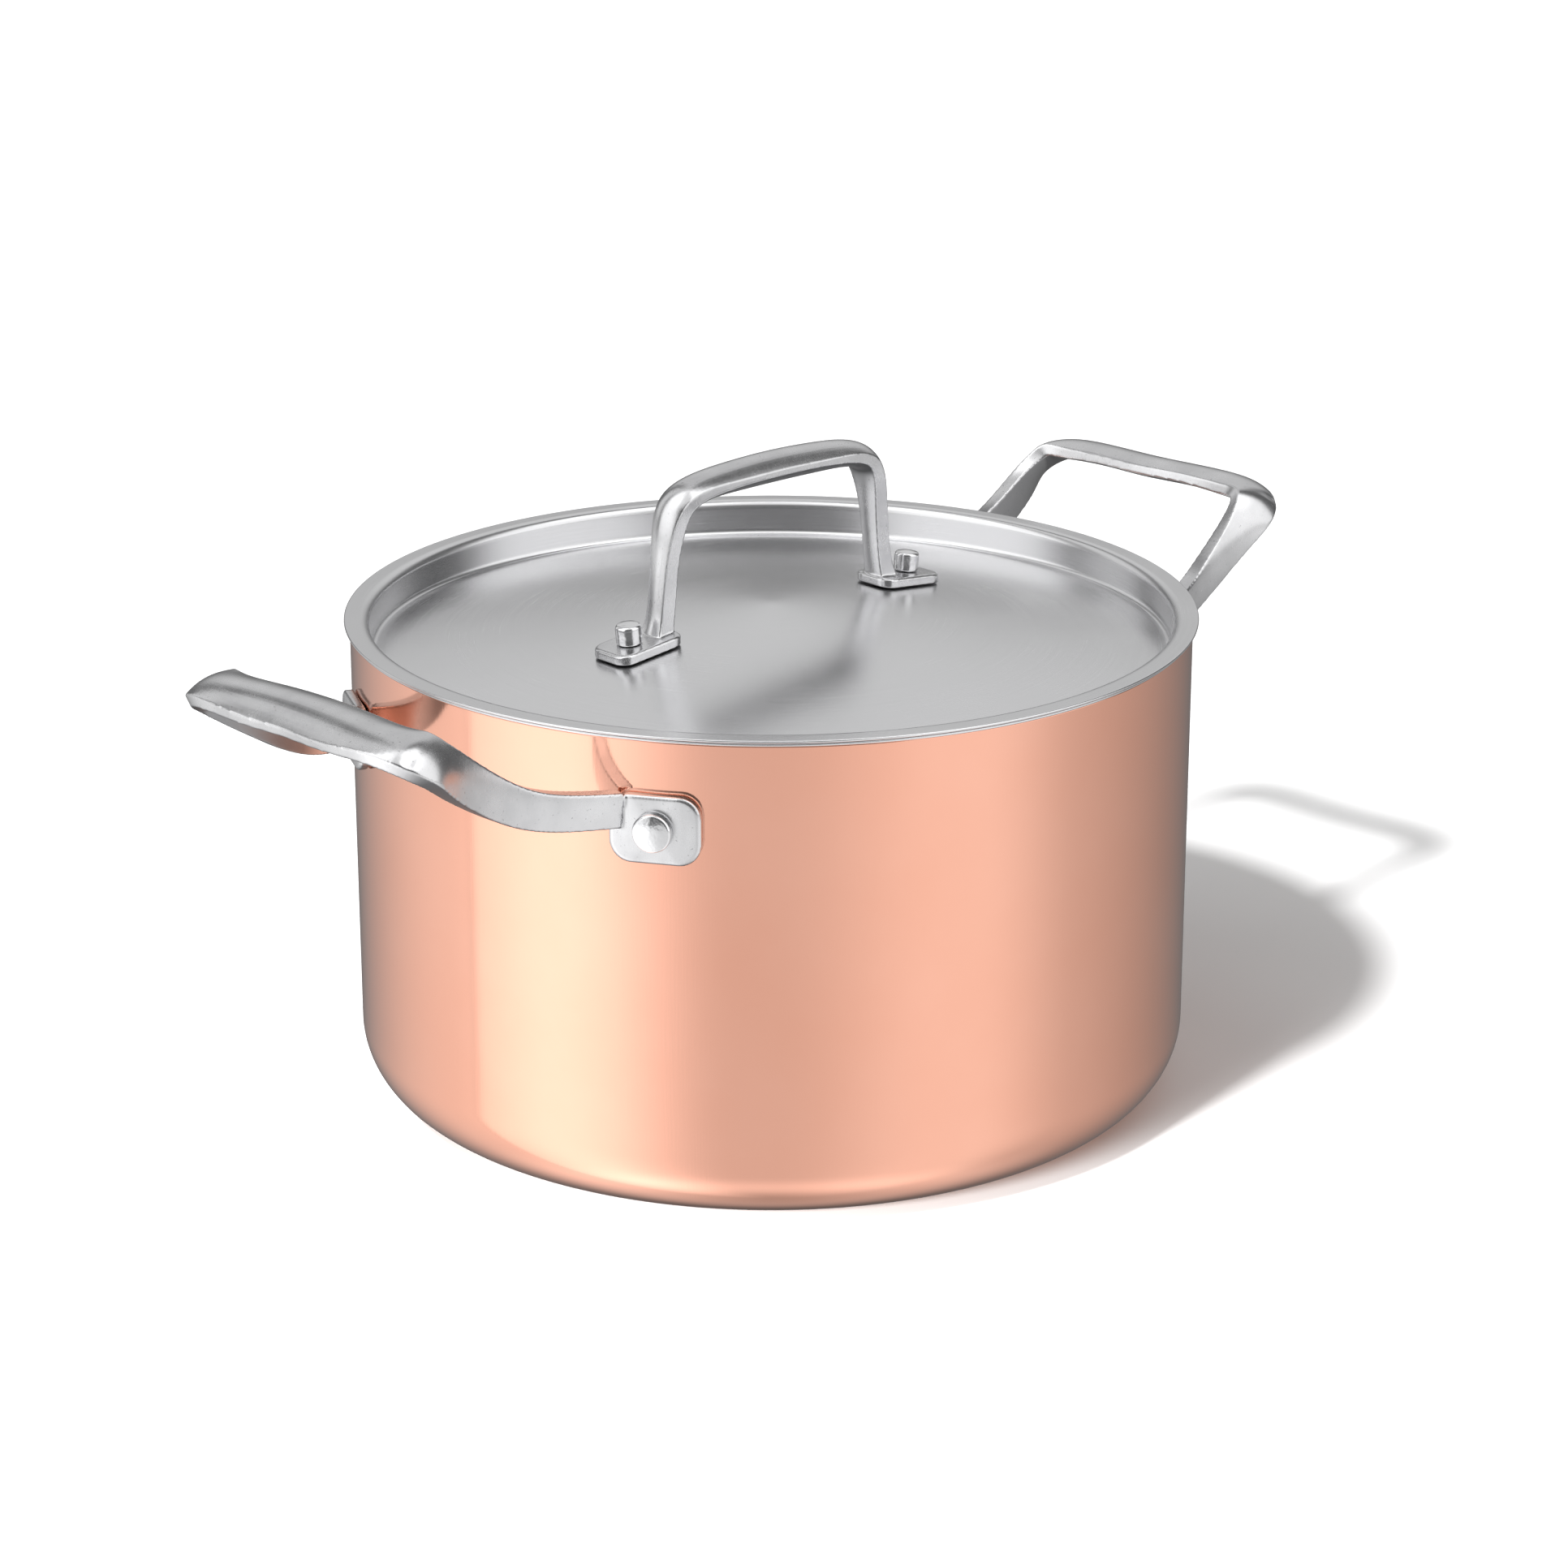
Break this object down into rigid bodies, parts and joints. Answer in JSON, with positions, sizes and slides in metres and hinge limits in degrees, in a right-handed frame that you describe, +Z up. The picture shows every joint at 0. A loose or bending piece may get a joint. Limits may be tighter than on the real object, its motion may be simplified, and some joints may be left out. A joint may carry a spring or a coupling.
{
  "type": "covered copper stockpot",
  "caption": "Deep round copper pot, steel lined, with riveted steel loop handles on both sides and a recessed steel lid that lifts off by a bridge handle.",
  "frame": {"origin": "middle of the pot's resting face, which is also the bottom centre of the whole object's box", "axes": "+Z up along the pot's axis; +X along the line of the two side handles, towards side_handle_right; +Y to the rear"},
  "size_m": [0.3638, 0.2432, 0.187],
  "materials": {
    "copper": "polished copper, mirror bright",
    "core_aluminium": "bonded inner ply, plain",
    "liner_steel": "satin, brushed round the pot",
    "lid_steel": "satin, spun round the lid's middle",
    "cast_steel": "cast stainless steel, satin polished",
    "rivet_steel": "polished stainless steel"
  },
  "bodies": {
    "pot": {"copper_shell": "copper", "aluminium_core": "core_aluminium", "steel_liner": "liner_steel", "side_handle_left": "cast_steel", "side_handle_right": "cast_steel", "pot_rivet_left_front": "rivet_steel", "pot_rivet_left_rear": "rivet_steel", "pot_rivet_right_front": "rivet_steel", "pot_rivet_right_rear": "rivet_steel"},
    "lid": {"lid_disc": "lid_steel", "lid_handle": "cast_steel", "lid_rivet_left": "rivet_steel", "lid_rivet_right": "rivet_steel"}
  },
  "joints": [
    {"name": "lid_lift", "type": "slide", "parent": "pot", "child": "lid", "axis": [0, 0, 1], "range_m": [0, 0.15]}
  ]
}
